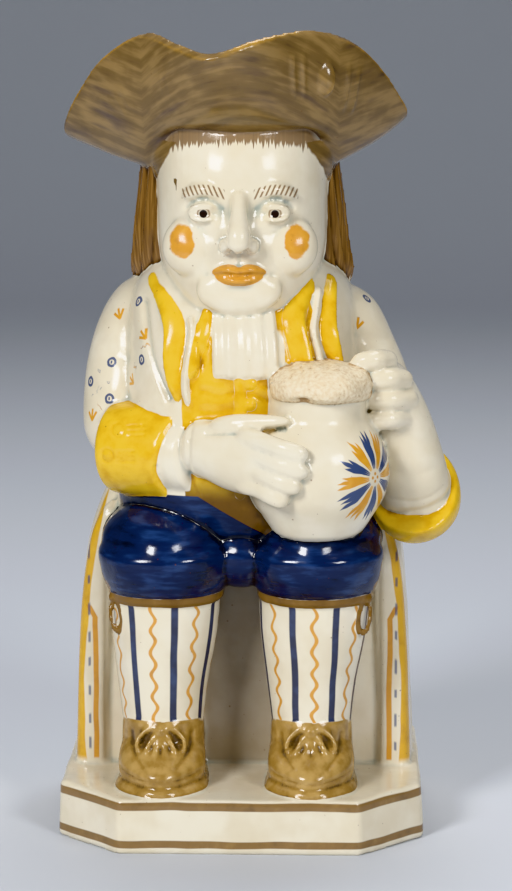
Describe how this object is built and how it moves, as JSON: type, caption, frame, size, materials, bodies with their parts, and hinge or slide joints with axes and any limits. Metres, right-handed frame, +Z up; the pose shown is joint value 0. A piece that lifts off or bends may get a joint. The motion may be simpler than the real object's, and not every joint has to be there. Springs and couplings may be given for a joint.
{
  "type": "toby jug",
  "caption": "Glazed earthenware jug modelled as a seated man in a three-cornered hat, holding an ale jug on his knee; it pours at the hat's front point and has a strap handle behind.",
  "frame": {"origin": "middle of the plinth's flat underside", "axes": "+Z up, the figure faces -Y, +X is the figure's left, on the side of the ale jug"},
  "size_m": [0.1259, 0.1273, 0.2509],
  "materials": {
    "glazed_earthenware": "glossy cream lead glaze over hand painting in yellow, ochre, cobalt blue and olive brown"
  },
  "bodies": {
    "root": {"toby_jug": "glazed_earthenware"}
  },
  "joints": []
}
